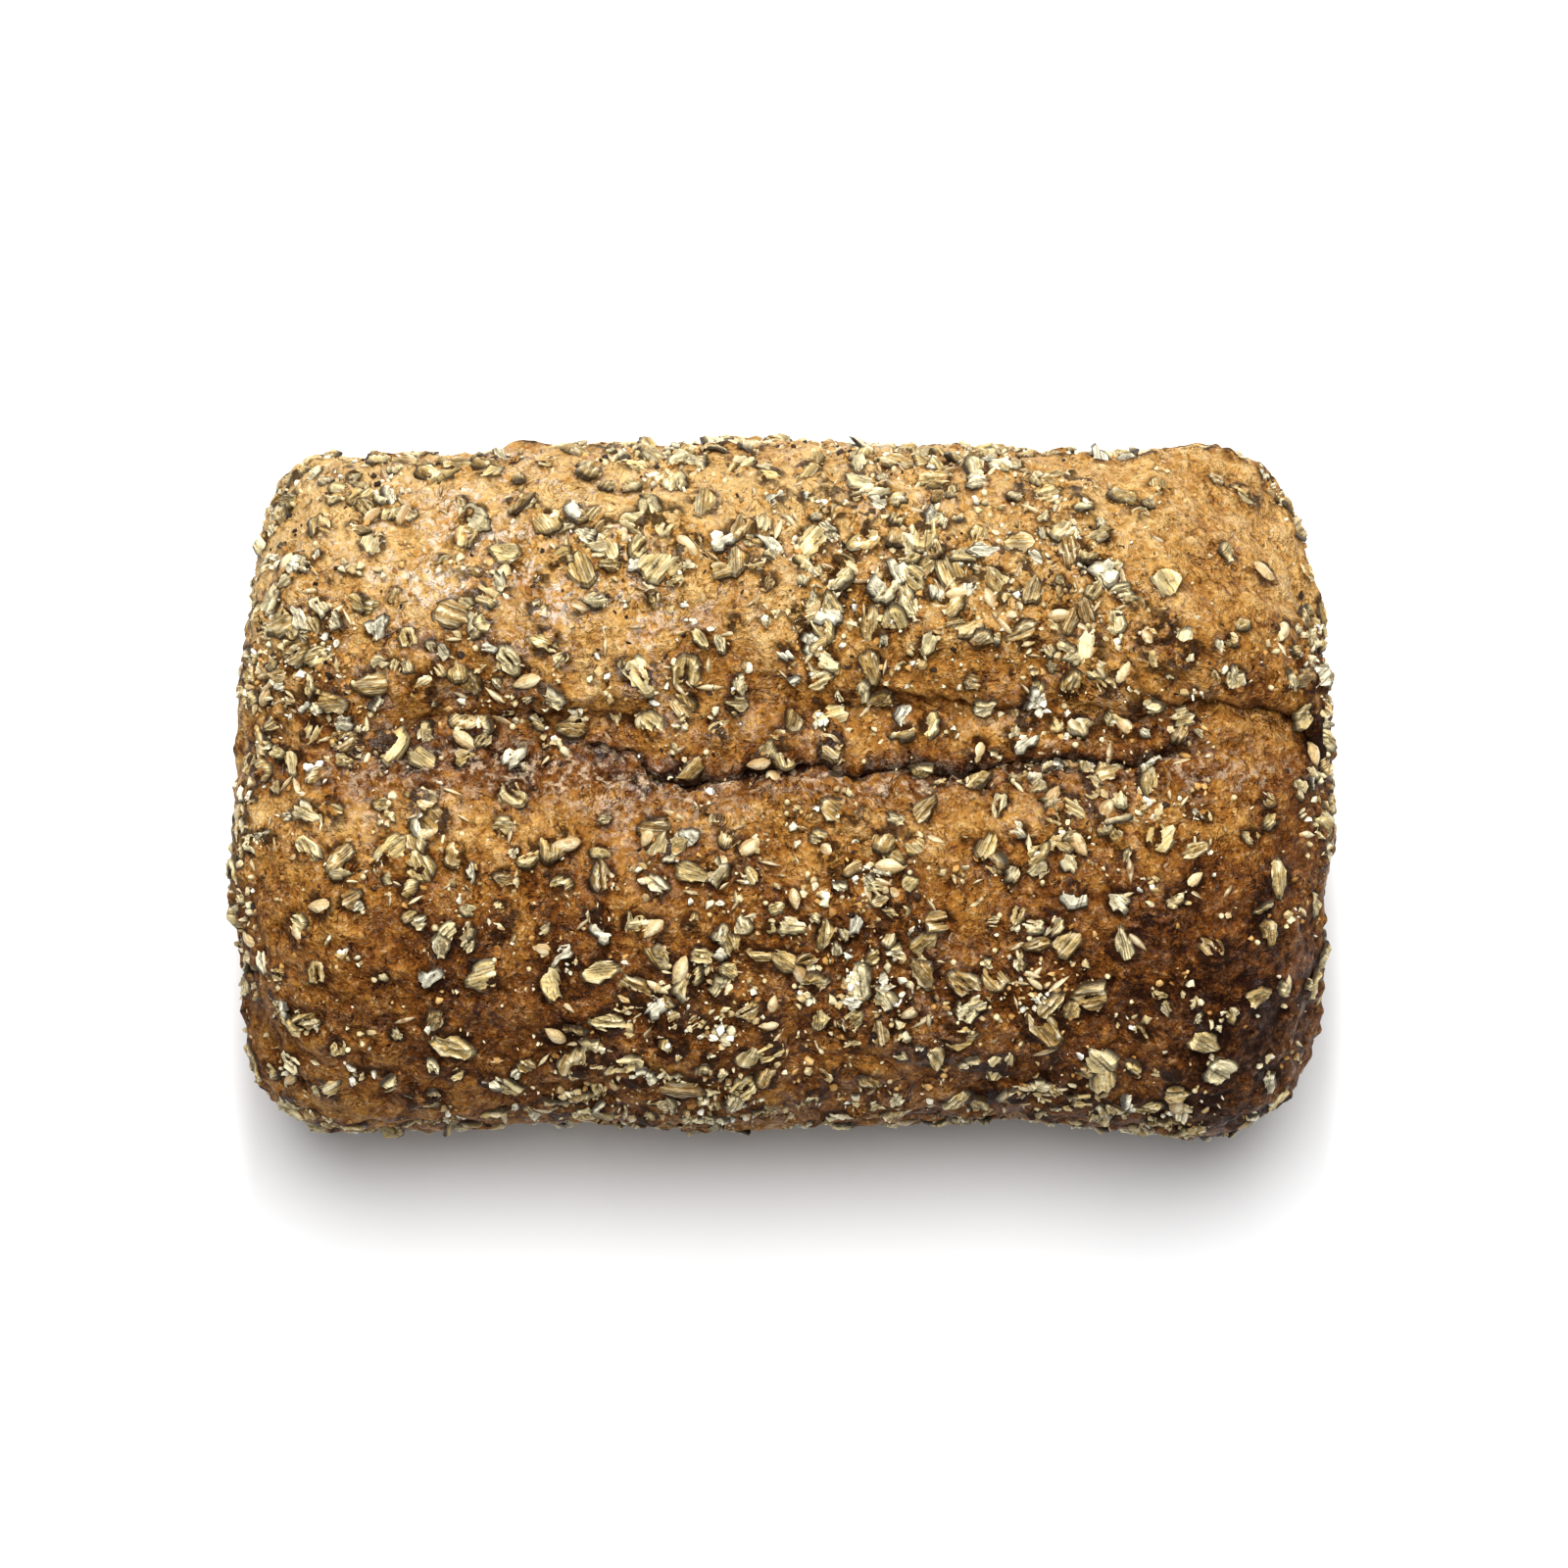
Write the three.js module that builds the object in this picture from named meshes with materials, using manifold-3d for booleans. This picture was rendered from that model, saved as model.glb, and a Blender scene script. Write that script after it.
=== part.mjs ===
// A rustic multigrain loaf, baked in a tin: two long lobes that have torn open along a seam down the middle,
// with rolled grain flakes baked into the whole crust except the underside.
// Millimetres, +Z up. X runs along the loaf, the origin is on the table under its middle.
import * as THREE from "three";
import Module from "manifold-3d";

// Driving dimensions
const HALF_LENGTH = 106.5; // at the table and along the upright corners
const END_BULGE = 7; // the end faces bulge out over the tin by this
const END_BULGE_LEVEL = 65; // height from which they bulge fully
const END_BULGE_LEAN = 8; // the right end face bulges out most this far in front of its middle
const END_BULGE_POWER = 3.2; // superellipse power of the bulge
const HALF_WIDTH = 71.2; // at the widest level
const BASE_NARROWING = 0.06; // share of the width lost from the widest level to the table
const HEIGHT = 101; // crown of the lobes before the valley is pressed in
const WIDEST_LEVEL = 50;
const CROWN_POWER = 2.7; // superellipse power of the crown's cross-section
const FOOT_RADIUS = 8; // where the walls meet the underside
const CORNER_BASE = 8; // upright corner at the back left, up to the rim
const CORNER_FRONT = 9; // the front corners are rounder by this
const CORNER_RIGHT = 6; // the right corners are rounder by this
const CORNER_CROWN = 27; // the crown rolls down to the end faces over this length
const CORNER_SLACK = 20; // and over this much more at the crown's back right corner
const CORNER_TIGHTNESS = 12; // and over this much less at its back left corner
const CORNER_DROP = 0.56; // share of the crown's rise that it rolls down over
const BARREL = 0.015; // share by which the crown is lower at its corners than in the middle
const SWAY = 2.1; // how strongly the loaf is bent, its middle lying further back than its ends
const LOBE_SHIFT = 1.4; // the front lobe lies this much further left than the back lobe

// The valley between the lobes
const VALLEY_DEPTH = 7.5;
const VALLEY_WIDTH = 19;
const VALLEY_MIDDLE = 3;

// Three lines run along the valley. Each knot is [x, y, strength], strength 1 being the full depth of that line.
// The ledge is the torn edge of the back lobe, and its fourth value says how sharply it drops, from 0 to 1. The crack
// is the open slit, and the ridge is the front lobe's edge.
const LEDGE = [
  [-104, 14, 0.3, 0], [-81, 10, 0.7, 0], [-66, 12.9, 1, 0.2], [-50, 12.3, 1.4, 0.5], [-36, 11.2, 1, 0.5],
  [-22, 12.4, 0.4, 0], [2, 13, 0.4, 0], [14, 13.6, 0.7, 0.6], [43, 12.8, 0.8, 0.9], [57, 13.5, 0.5, 0.4],
  [73, 13.9, 0.7, 0.7], [88, 17, 1, 0.7], [98, 19.5, 1.4, 0.9], [105, 18, 1.3, 0.9], [112, 10, 0.8, 0.6],
];
const CRACK = [
  [-50, 6, 0], [-33, 4.5, 0.4], [-25, -0.6, 1], [-20, -2, 1], [-8, -1.2, 0.9], [1, -0.2, 0.6], [7, 1, 0.5],
  [13, -0.6, 0.9], [24, 0.6, 0.9], [35, -0.6, 1], [47, 2.7, 0.7], [60, 2.9, 0.9], [71, 3.1, 0.7], [83, 5.2, 0.2], [94, 6, 0],
];
const RIDGE = [
  [-104, -1, 0.4], [-82, -5.9, 0.7], [-64, -7.3, 0.8], [-44, -10.4, 1], [-22, -11.2, 1], [-3, -6, 0.7],
  [9, -8.1, 0.8], [21, -10.4, 1], [35, -6, 0.6], [67, -1.5, 0.3], [87, -4.6, 0.7], [97, -3.5, 0.6], [106, 1, 0.4],
];
const LEDGE_DEPTH = 3.8;
const LEDGE_SOFT_RUN = 8.5; // width of the ledge's slope where it is soft
const LEDGE_SHARP_RUN = 2; // and where it drops sharply
const CRACK_DEPTH = 5.2;
const CRACK_LIP = 2.8; // width of the rounded lip behind the crack
const LIP_OVERHANG = 2.4;
const TROUGH_DEPTH = 1.3; // of the torn strip in front of the crack
const TROUGH_WIDTH = 4.5;
const RIDGE_RISE = 1.4;
const RIDGE_WIDTH = 3.5;
// Where those lines lie before they are bent to their knots, and how far to each side the bending reaches.
const RIDGE_HOME = -9;
const CRACK_HOME = -1;
const LEDGE_HOME = 13;
const BEND_FRONT = -42;
const BEND_BACK = 46;

// Mesh of the crust. A quarter of an outline has a straight side, a corner and an end, with these shares of its run.
const SIDE_RUN = 0.5;
const CORNER_RUN = 0.34;
const SIDE_STEPS = 11;
const CORNER_STEPS = 7;
const END_STEPS = 3;
const WALL_STEPS = 3;
const FOOT_STEPS = 4;
const UNDERSIDE_STEPS = 2;
const CROWN_STEPS = 7; // on each side of the seam lines
const SEAM_LINES = [-14, RIDGE_HOME, -5, CRACK_HOME, -0.3, 0.6, CRACK_HOME + CRACK_LIP, 6.5, 10.5,
  LEDGE_HOME, LEDGE_HOME + 1, LEDGE_HOME + LEDGE_SHARP_RUN, LEDGE_HOME + 4.5, LEDGE_HOME + LEDGE_SOFT_RUN];

// Grain flakes
const FLAKE_COUNT = 176;
const FLAKE_SEED = 20817;
const DRAWS_PER_TRY = 10;
const FLAKE_LONGEST = 9.2;
const FLAKE_SHORTEST = 5.8;
const FLAKE_SPACING = 0.86; // of two flakes' mean length, middle to middle
const FLAKE_SIDES = 8;
const FLAKE_KEEL = 3.6; // how far the keel of a flake's underside reaches into the crust
const LOWEST_FLAKE = 7; // flakes stay this far above the table
// Patches where the grain lies thicker or thinner: [x, y, radius, factor], only on the upper side.
const PATCHES = [
  [22, 42, 20, 1.9], [-30, 32, 22, 1.4], [62, 40, 16, 1.4], [96, 48, 22, 0.3], [-70, 58, 22, 0.45],
  [98, 2, 15, 0.2], [-4, -2, 22, 0.5], [4, -32, 26, 1.4], [92, -52, 24, 0.6], [-82, -48, 22, 0.65], [-84, 22, 20, 1.4],
];

const smooth = (low, high, value) => {
  const s = upTo1((value - low) / (high - low));
  return s * s * (3 - 2 * s);
};
const mix = (a, b, s) => a + (b - a) * s;
const power = (value, exponent) => Math.sign(value) * Math.abs(value) ** exponent;
const bell = (value, width) => Math.exp(-((value / width) ** 2));
const upTo1 = (value) => Math.min(1, Math.max(0, value));

// A column of a knot table at x, eased between neighbouring knots.
function along(knots, x, column) {
  const last = knots.length - 1;
  if (x <= knots[0][0]) return knots[0][column];
  if (x >= knots[last][0]) return knots[last][column];
  const i = knots.findIndex((knot) => knot[0] > x);
  return mix(knots[i - 1][column], knots[i][column], smooth(knots[i - 1][0], knots[i][0], x));
}

// Bends a resting line across the valley to where the three lines are at x.
function bent(home, x) {
  const from = [BEND_FRONT, RIDGE_HOME, CRACK_HOME, LEDGE_HOME, BEND_BACK];
  const to = [BEND_FRONT, along(RIDGE, x, 1), along(CRACK, x, 1), along(LEDGE, x, 1), BEND_BACK];
  if (home <= BEND_FRONT || home >= BEND_BACK) return home;
  const i = from.findIndex((value) => value > home);
  return mix(to[i - 1], to[i], (home - from[i - 1]) / (from[i] - from[i - 1]));
}

// How far the seam moves a point of the crown, as [sideways, upwards]. Home is its resting line.
function seam(home, x) {
  const ledge = LEDGE_DEPTH * along(LEDGE, x, 2);
  const sharp = along(LEDGE, x, 3);
  const opened = along(CRACK, x, 2);
  const ridge = along(RIDGE, x, 2);
  const lip = upTo1((home - CRACK_HOME) / CRACK_LIP);
  const step = upTo1((home - LEDGE_HOME) / mix(LEDGE_SOFT_RUN, LEDGE_SHARP_RUN, sharp));
  const slit = home <= CRACK_HOME ? smooth(RIDGE_HOME, CRACK_HOME, home) : (1 - lip) ** 2;
  const foot = home <= LEDGE_HOME ? smooth(CRACK_HOME + CRACK_LIP, LEDGE_HOME, home) : (1 - step) ** 2;
  const up =
    RIDGE_RISE * ridge * bell(home - RIDGE_HOME, RIDGE_WIDTH) -
    VALLEY_DEPTH * bell(home - VALLEY_MIDDLE, VALLEY_WIDTH) -
    TROUGH_DEPTH * ridge * bell(home - CRACK_HOME, TROUGH_WIDTH) -
    CRACK_DEPTH * opened * slit -
    ledge * foot;
  const aside = -LIP_OVERHANG * opened * Math.sin(Math.PI * lip) - 0.5 * ledge * sharp * Math.sin(Math.PI * step);
  return [aside, up];
}

// The uneven swelling of the dough: broad waves, fading out towards the table.
function swelling(x, y, z) {
  const broad = 0.9 * Math.sin(x / 19 + 0.9 * Math.sin(y / 24 + 1)) * Math.cos(y / 21 + 0.5);
  const middling = 0.6 * Math.sin(x / 9.7 + y / 12.3 + 2.1) * Math.sin(y / 10.9 - x / 31 + 0.4);
  const fine = 0.35 * Math.sin(x / 5.1 - y / 7.3) * Math.sin(z / 6.3 + x / 14 + y / 5.9);
  return (broad + middling + fine) * smooth(0, 24, z);
}

// A quarter of a rounded box of half sides 1: s from 0 to 1 runs along its side, round its corner and across its end.
function roundedQuarter(s, cornerAlong, cornerAcross) {
  if (s <= SIDE_RUN) return [(s / SIDE_RUN) * (1 - cornerAlong), 1];
  const angle = (Math.PI / 2) * Math.min(1, (s - SIDE_RUN) / CORNER_RUN);
  const toMiddle = Math.min(1, (1 - s) / (1 - SIDE_RUN - CORNER_RUN));
  return [
    1 - cornerAlong * (1 - Math.sin(angle)),
    (1 - cornerAcross * (1 - Math.cos(angle))) * toMiddle,
  ];
}

// The cross-section's [y, height over the widest level]. Turn runs round the loaf from the back: 90 degrees is the
// crown, 180 the front and 270 the underside.
function section(turn) {
  const rise = Math.sin(turn);
  if (rise >= 0) {
    return [
      HALF_WIDTH * power(Math.cos(turn), 2 / CROWN_POWER),
      (HEIGHT - WIDEST_LEVEL) * rise ** (2 / CROWN_POWER),
    ];
  }
  const fall = Math.asin(-rise) / (Math.PI / 2);
  const [down, across] = roundedQuarter(fall, FOOT_RADIUS / WIDEST_LEVEL, FOOT_RADIUS / HALF_WIDTH);
  return [Math.sign(Math.cos(turn)) * HALF_WIDTH * across * (1 - BASE_NARROWING * down), -WIDEST_LEVEL * down];
}

// How far out an end face is at a point of the cross-section.
function endAt(run, y, height) {
  const lean = END_BULGE_LEAN * smooth(-0.5, 0.5, run);
  const bulge = 1 - Math.min(1, Math.abs((y + lean) / HALF_WIDTH)) ** END_BULGE_POWER;
  return HALF_LENGTH + END_BULGE * bulge * smooth(0, END_BULGE_LEVEL, height + WIDEST_LEVEL);
}

// The outline in the direction turn, as [share of the length, share of the cross-section]. Run goes from -1 in the
// middle of the left end face over 0 in the middle of the loaf to 1 in the middle of the right end face.
function outline(run, turn) {
  const crown = smooth(0, 0.6, Math.sin(turn));
  const front = smooth(-0.3, 0.3, -Math.cos(turn));
  const base = CORNER_BASE + CORNER_FRONT * front + (run > 0 ? CORNER_RIGHT : 0);
  const slack = (run > 0 ? CORNER_SLACK : -CORNER_TIGHTNESS) * smooth(-0.1, 0.7, Math.cos(turn));
  const corner = mix(base, CORNER_CROWN + slack, crown) / HALF_LENGTH;
  const drop = mix(base / HALF_WIDTH, CORNER_DROP, crown);
  const [along, share] = roundedQuarter(Math.abs(run), corner, drop);
  return [Math.sign(run) * along, share * (1 - BARREL * crown * along * along)];
}

// A point of the loaf's surface.
function surface(run, turn) {
  const [home, height] = section(turn);
  const [along, share] = outline(run, turn);
  let x = along * endAt(run, home * share, height * share);
  let y = home;
  let z = height;
  if (height > 0) {
    const [aside, up] = seam(home, x);
    y = bent(home, x) + aside;
    z += up * smooth(0, 0.35, Math.sin(turn));
  }
  y = y * share + SWAY * (0.55 - 1.6 * (x / HALF_LENGTH) ** 2);
  z = WIDEST_LEVEL + z * share;
  x += LOBE_SHIFT * (smooth(-35, 20, y) - 0.5);

  const point = new THREE.Vector3(x, y, z);
  const core = new THREE.Vector3(THREE.MathUtils.clamp(x, -75, 75), THREE.MathUtils.clamp(y, -30, 30), WIDEST_LEVEL);
  const outward = point.clone().sub(core).normalize();
  return point.addScaledVector(outward, swelling(x, y, z));
}

// The outward normal, from two short steps along the surface.
function normalAt(run, turn) {
  const step = 0.002;
  const alongX = surface(run + step, turn).sub(surface(run - step, turn));
  const round = surface(run, turn + step).sub(surface(run, turn - step));
  return round.cross(alongX).normalize();
}

// Values at even distances along a path, from a fine table of the path's length.
function evenly(from, to, steps, pointAt) {
  const fine = 1200;
  const lengths = [0];
  let before = pointAt(from);
  for (let i = 1; i <= fine; i++) {
    const here = pointAt(mix(from, to, i / fine));
    lengths.push(lengths[i - 1] + Math.hypot(here[0] - before[0], here[1] - before[1]));
    before = here;
  }
  return Array.from({ length: steps + 1 }, (_, k) => {
    const wanted = (lengths[fine] * k) / steps;
    const i = Math.max(1, lengths.findIndex((length) => length >= wanted - 1e-9));
    const share = (wanted - lengths[i - 1]) / (lengths[i] - lengths[i - 1]);
    return mix(from, to, (i - 1 + share) / fine);
  });
}

// Values from 0 to 1 that step along the side, the corner and the end of a quarter.
function quarterSteps(side, corner, end) {
  const steps = [];
  for (let i = 0; i < side; i++) steps.push((SIDE_RUN * i) / side);
  for (let i = 0; i < corner; i++) steps.push(SIDE_RUN + (CORNER_RUN * i) / corner);
  for (let i = 0; i <= end; i++) steps.push(mix(SIDE_RUN + CORNER_RUN, 1, i / end));
  return steps;
}

// The turn at which the crown's resting line is at y.
const turnAt = (y) => Math.acos(power(y / HALF_WIDTH, CROWN_POWER / 2));

// All turns of the crust's mesh lines, once round the loaf.
function meshTurns() {
  const back = evenly(0, turnAt(SEAM_LINES[SEAM_LINES.length - 1]), CROWN_STEPS, section);
  const front = evenly(turnAt(SEAM_LINES[0]), Math.PI, CROWN_STEPS, section);
  const fall = quarterSteps(WALL_STEPS, FOOT_STEPS, UNDERSIDE_STEPS).map((step) => (step * Math.PI) / 2);
  return [
    ...back.slice(0, -1),
    ...SEAM_LINES.toReversed().map(turnAt),
    ...front.slice(1),
    ...fall.slice(1).map((angle) => Math.PI + angle),
    ...fall.slice(1, -1).toReversed().map((angle) => 2 * Math.PI - angle),
  ];
}

// The runs of the crust's rings, without the two end points.
function meshRuns() {
  const half = quarterSteps(SIDE_STEPS, CORNER_STEPS, END_STEPS).slice(0, -1);
  return [...half.slice(1).toReversed().map((run) => -run), ...half];
}

// A closed grid of rings round the loaf, with a point at each end.
function crustGeometry() {
  const turns = meshTurns();
  const runs = meshRuns();
  const points = [surface(-1, 0)];
  for (const run of runs) {
    for (const turn of turns) points.push(surface(run, turn));
  }
  points.push(surface(1, 0));
  const ring = turns.length;
  const end = points.length - 1;
  const index = [];
  for (let j = 0; j < ring; j++) {
    const next = (j + 1) % ring;
    index.push(0, 1 + next, 1 + j);
    for (let i = 0; i < runs.length - 1; i++) {
      const here = 1 + i * ring;
      const there = here + ring;
      index.push(here + j, there + next, there + j, here + j, here + next, there + next);
    }
    index.push(end, end - ring + j, end - ring + next);
  }
  const flat = points.map((point) => [point.x, point.y, Math.max(0, point.z)]).flat();
  return new THREE.BufferGeometry()
    .setAttribute("position", new THREE.Float32BufferAttribute(flat, 3))
    .setIndex(index);
}

// A seeded stream of numbers from 0 to 1.
function stream(seed) {
  let state = seed >>> 0;
  return () => {
    state = (Math.imul(1664525, state) + 1013904223) >>> 0;
    return state / 4294967296;
  };
}

// How thick the grain lies at a point, against the average.
function grainDensity(point, normal) {
  let density = normal.z > 0.2 ? 1 : 0.5;
  for (const [x, y, radius, factor] of PATCHES) {
    const away = Math.hypot(point.x - x, point.y - y) / radius;
    if (normal.z > 0.2) density *= mix(1, factor, Math.exp(-away * away));
  }
  return density;
}

// Places for the flakes, the largest first, kept apart and spread over the crust by a seeded draw.
function flakePlaces() {
  const draw = stream(FLAKE_SEED);
  const fine = 400;
  const runs = evenly(-1, 1, fine, (run) => {
    const [along, share] = outline(run, Math.PI / 2);
    return [along * HALF_LENGTH, share * WIDEST_LEVEL];
  });
  const turns = evenly(0, 2 * Math.PI, fine, section);
  const places = [];
  while (places.length < FLAKE_COUNT) {
    const draws = Array.from({ length: DRAWS_PER_TRY }, draw);
    const run = runs[Math.floor(draws[0] * fine)];
    const turn = turns[Math.floor(draws[1] * fine)];
    if (draws[2] > outline(run, turn)[1]) continue;
    const point = surface(run, turn);
    if (point.z < LOWEST_FLAKE) continue;
    const normal = normalAt(run, turn);
    if (draws[3] * 2 > grainDensity(point, normal)) continue;
    const length = mix(FLAKE_LONGEST, FLAKE_SHORTEST, places.length / FLAKE_COUNT) * mix(0.92, 1.08, draws[4]);
    const crowded = places.some((other) => other.point.distanceTo(point) < (FLAKE_SPACING * (other.length + length)) / 2);
    if (crowded) continue;
    places.push({ point, normal, length, draws });
  }
  return places;
}

// A rolled flake, lying along X: an oval with a raised rim, a crease along its middle and a keel underneath.
function flakeGeometry(length, width, thickness, crease, draws) {
  const points = [];
  for (let k = 0; k < FLAKE_SIDES; k++) {
    const angle = (2 * Math.PI * k) / FLAKE_SIDES;
    const uneven = 1 + 0.12 * Math.sin(3 * angle + 6 * draws[5]);
    const curl = 0.3 * Math.cos(2 * angle + 3 * draws[6]);
    points.push([
      (Math.cos(angle) * length * uneven) / 2,
      (Math.sin(angle) * width * uneven) / 2,
      thickness + curl,
    ]);
  }
  const half = length * 0.28;
  points.push([half, 0, thickness - crease], [-half, 0, thickness - crease], [0, 0, -FLAKE_KEEL]);
  const [right, left, keel] = [FLAKE_SIDES, FLAKE_SIDES + 1, FLAKE_SIDES + 2];
  const quarter = FLAKE_SIDES / 4;
  const index = [right, quarter, left, left, 3 * quarter, right];
  for (let k = 0; k < FLAKE_SIDES; k++) {
    const next = (k + 1) % FLAKE_SIDES;
    const creaseEnd = k < quarter || k >= 3 * quarter ? right : left;
    index.push(k, next, creaseEnd, keel, next, k);
  }
  return new THREE.BufferGeometry()
    .setAttribute("position", new THREE.Float32BufferAttribute(points.flat(), 3))
    .setIndex(index);
}

// One flake, laid on the crust at its place, turned in its plane and tipped a little.
function placedFlake({ point, normal, length, draws }) {
  const geometry = flakeGeometry(
    length,
    length * mix(0.52, 0.8, draws[7]),
    mix(0.9, 1.5, draws[5]),
    mix(0.2, 0.8, draws[6]),
    draws,
  );
  const pose = new THREE.Object3D();
  pose.position.copy(point);
  pose.quaternion.setFromUnitVectors(new THREE.Vector3(0, 0, 1), normal);
  pose.rotateZ(2 * Math.PI * draws[8]);
  pose.rotateX(mix(-0.2, 0.2, draws[9]));
  pose.rotateY(mix(-0.12, 0.12, draws[4]));
  pose.updateMatrixWorld();
  return geometry.applyMatrix4(pose.matrixWorld);
}

const wasm = await Module();
wasm.setup();

function toSolid(geometry) {
  return new wasm.Manifold(
    new wasm.Mesh({
      numProp: 3,
      vertProperties: geometry.getAttribute("position").array,
      triVerts: new Uint32Array(geometry.index.array),
    }),
  );
}

function toGeometry(solid) {
  const { vertProperties, triVerts } = solid.getMesh();
  return new THREE.BufferGeometry()
    .setAttribute("position", new THREE.BufferAttribute(vertProperties, 3))
    .setIndex(new THREE.BufferAttribute(triVerts, 1));
}

// The crust with its flakes fused on, as one solid.
function loafSolid() {
  let solid = toSolid(crustGeometry());
  for (const place of flakePlaces()) solid = solid.add(toSolid(placedFlake(place)));
  return solid;
}

const loaf = new THREE.Mesh(
  toGeometry(loafSolid()),
  new THREE.MeshStandardMaterial({ color: 0xb07a3c, roughness: 0.6, metalness: 0 }),
);
loaf.name = "loaf";

const group = new THREE.Group();
group.add(loaf);

export default group;
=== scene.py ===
"""The looks of a multigrain tin loaf: its crust, the grain baked into it, and a plain white table in soft light."""

import itertools
import math

import bpy
import numpy as np
from mathutils import Euler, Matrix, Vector
from mathutils.kdtree import KDTree


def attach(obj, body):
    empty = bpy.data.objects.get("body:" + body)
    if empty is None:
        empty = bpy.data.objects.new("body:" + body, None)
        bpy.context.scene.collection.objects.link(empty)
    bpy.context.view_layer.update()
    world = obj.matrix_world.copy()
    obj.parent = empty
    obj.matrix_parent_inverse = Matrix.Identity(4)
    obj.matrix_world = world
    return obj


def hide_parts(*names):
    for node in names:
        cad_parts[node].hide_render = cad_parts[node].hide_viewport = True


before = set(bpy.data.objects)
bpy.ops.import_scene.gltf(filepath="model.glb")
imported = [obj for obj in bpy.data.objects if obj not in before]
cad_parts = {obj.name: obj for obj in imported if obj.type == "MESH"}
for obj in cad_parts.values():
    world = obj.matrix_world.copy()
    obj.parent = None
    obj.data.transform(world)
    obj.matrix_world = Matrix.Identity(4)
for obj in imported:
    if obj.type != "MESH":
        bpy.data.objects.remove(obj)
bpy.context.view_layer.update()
MM = 0.001

# The loaf's form, as in the solid. Everything below is in millimetres until it becomes a mesh.
HALF_LENGTH = 106.5
END_BULGE = 7
END_BULGE_LEVEL = 65
END_BULGE_LEAN = 8
END_BULGE_POWER = 3.2
HALF_WIDTH = 71.2
BASE_NARROWING = 0.06
HEIGHT = 101
WIDEST_LEVEL = 50
CROWN_POWER = 2.7
FOOT_RADIUS = 8
CORNER_BASE = 8
CORNER_FRONT = 9
CORNER_RIGHT = 6
CORNER_CROWN = 27
CORNER_SLACK = 20
CORNER_TIGHTNESS = 12
CORNER_DROP = 0.56
BARREL = 0.015
SWAY = 2.1
LOBE_SHIFT = 1.4
SIDE_RUN = 0.5
CORNER_RUN = 0.34

VALLEY_DEPTH = 7.5
VALLEY_WIDTH = 19
VALLEY_MIDDLE = 3
# Knots of the three lines along the valley, as [x, y, strength], and for the ledge how sharply it drops.
LEDGE = [
    [-104, 14, 0.3, 0], [-81, 10, 0.7, 0], [-66, 12.9, 1, 0.2], [-50, 12.3, 1.4, 0.5], [-36, 11.2, 1, 0.5],
    [-22, 12.4, 0.4, 0], [2, 13, 0.4, 0], [14, 13.6, 0.7, 0.6], [43, 12.8, 0.8, 0.9], [57, 13.5, 0.5, 0.4],
    [73, 13.9, 0.7, 0.7], [88, 17, 1, 0.7], [98, 19.5, 1.4, 0.9], [105, 18, 1.3, 0.9], [112, 10, 0.8, 0.6],
]
CRACK = [
    [-50, 6, 0], [-33, 4.5, 0.4], [-25, -0.6, 1], [-20, -2, 1], [-8, -1.2, 0.9], [1, -0.2, 0.6], [7, 1, 0.5],
    [13, -0.6, 0.9], [24, 0.6, 0.9], [35, -0.6, 1], [47, 2.7, 0.7], [60, 2.9, 0.9], [71, 3.1, 0.7], [83, 5.2, 0.2],
    [94, 6, 0],
]
RIDGE = [
    [-104, -1, 0.4], [-82, -5.9, 0.7], [-64, -7.3, 0.8], [-44, -10.4, 1], [-22, -11.2, 1], [-3, -6, 0.7],
    [9, -8.1, 0.8], [21, -10.4, 1], [35, -6, 0.6], [67, -1.5, 0.3], [87, -4.6, 0.7], [97, -3.5, 0.6], [106, 1, 0.4],
]
LEDGE_DEPTH = 3.8
LEDGE_SOFT_RUN = 8.5
LEDGE_SHARP_RUN = 2
CRACK_DEPTH = 5.2
CRACK_LIP = 2.8
LIP_OVERHANG = 2.4
TROUGH_DEPTH = 1.3
TROUGH_WIDTH = 4.5
RIDGE_RISE = 1.4
RIDGE_WIDTH = 3.5
RIDGE_HOME = -9
CRACK_HOME = -1
LEDGE_HOME = 13
BEND_FRONT = -42
BEND_BACK = 46

# The solid's own flakes, which the looks repeat.
FLAKE_COUNT = 176
FLAKE_SEED = 20817
DRAWS_PER_TRY = 10
FLAKE_LONGEST = 9.2
FLAKE_SHORTEST = 5.8
FLAKE_SPACING = 0.86
LOWEST_FLAKE = 7
PATCHES = [
    [22, 42, 20, 1.9], [-30, 32, 22, 1.4], [62, 40, 16, 1.4], [96, 48, 22, 0.3], [-70, 58, 22, 0.45],
    [98, 2, 15, 0.2], [-4, -2, 22, 0.5], [4, -32, 26, 1.4], [92, -52, 24, 0.6], [-82, -48, 22, 0.65], [-84, 22, 20, 1.4],
]

LOOKS_PATCHES = [
    [20, 42, 14, 1.3], [38, 18, 12, 1.25], [20, -35, 20, 1.3], [62, -14, 14, 1.5], [88, 50, 18, 0.4], [100, 8, 12, 0.3],
    [-36, -4, 12, 0.35], [-84, -44, 22, 0.45], [-92, 30, 14, 1.3], [-20, -72, 30, 1.2], [98, -42, 26, 0.22],
    [-74, 58, 24, 1.9], [-60, -30, 16, 1.2],
]

# How dark the crown is baked, as [y, bake] with bake from 0, pale gold, to 1, burnt; its front lobe is darker partly as
# painted shade. And where it is darker or, below 0, paler than that, as [x, y, size, amount].
BAKE_AND_SHADE_ACROSS = [
    [-75, 0.62], [-45, 0.71], [-22, 0.51], [-10, 0.30], [0, 0.52], [10, 0.46], [22, 0.35], [35, 0.18], [60, 0.07], [75, 0.2],
]
WALL_BAKE = 0.5
BURNT_SPOTS = [
    [98, 19, 4, 0.3], [112, 9, 3.5, 0.7], [106, -9, 7, 0.3], [-93, 10, 10, 0.2], [-55, 14, 10, 0.12], [-24, -1, 5, 0.2],
    [97, 4, 9, -0.24],
]
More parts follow.
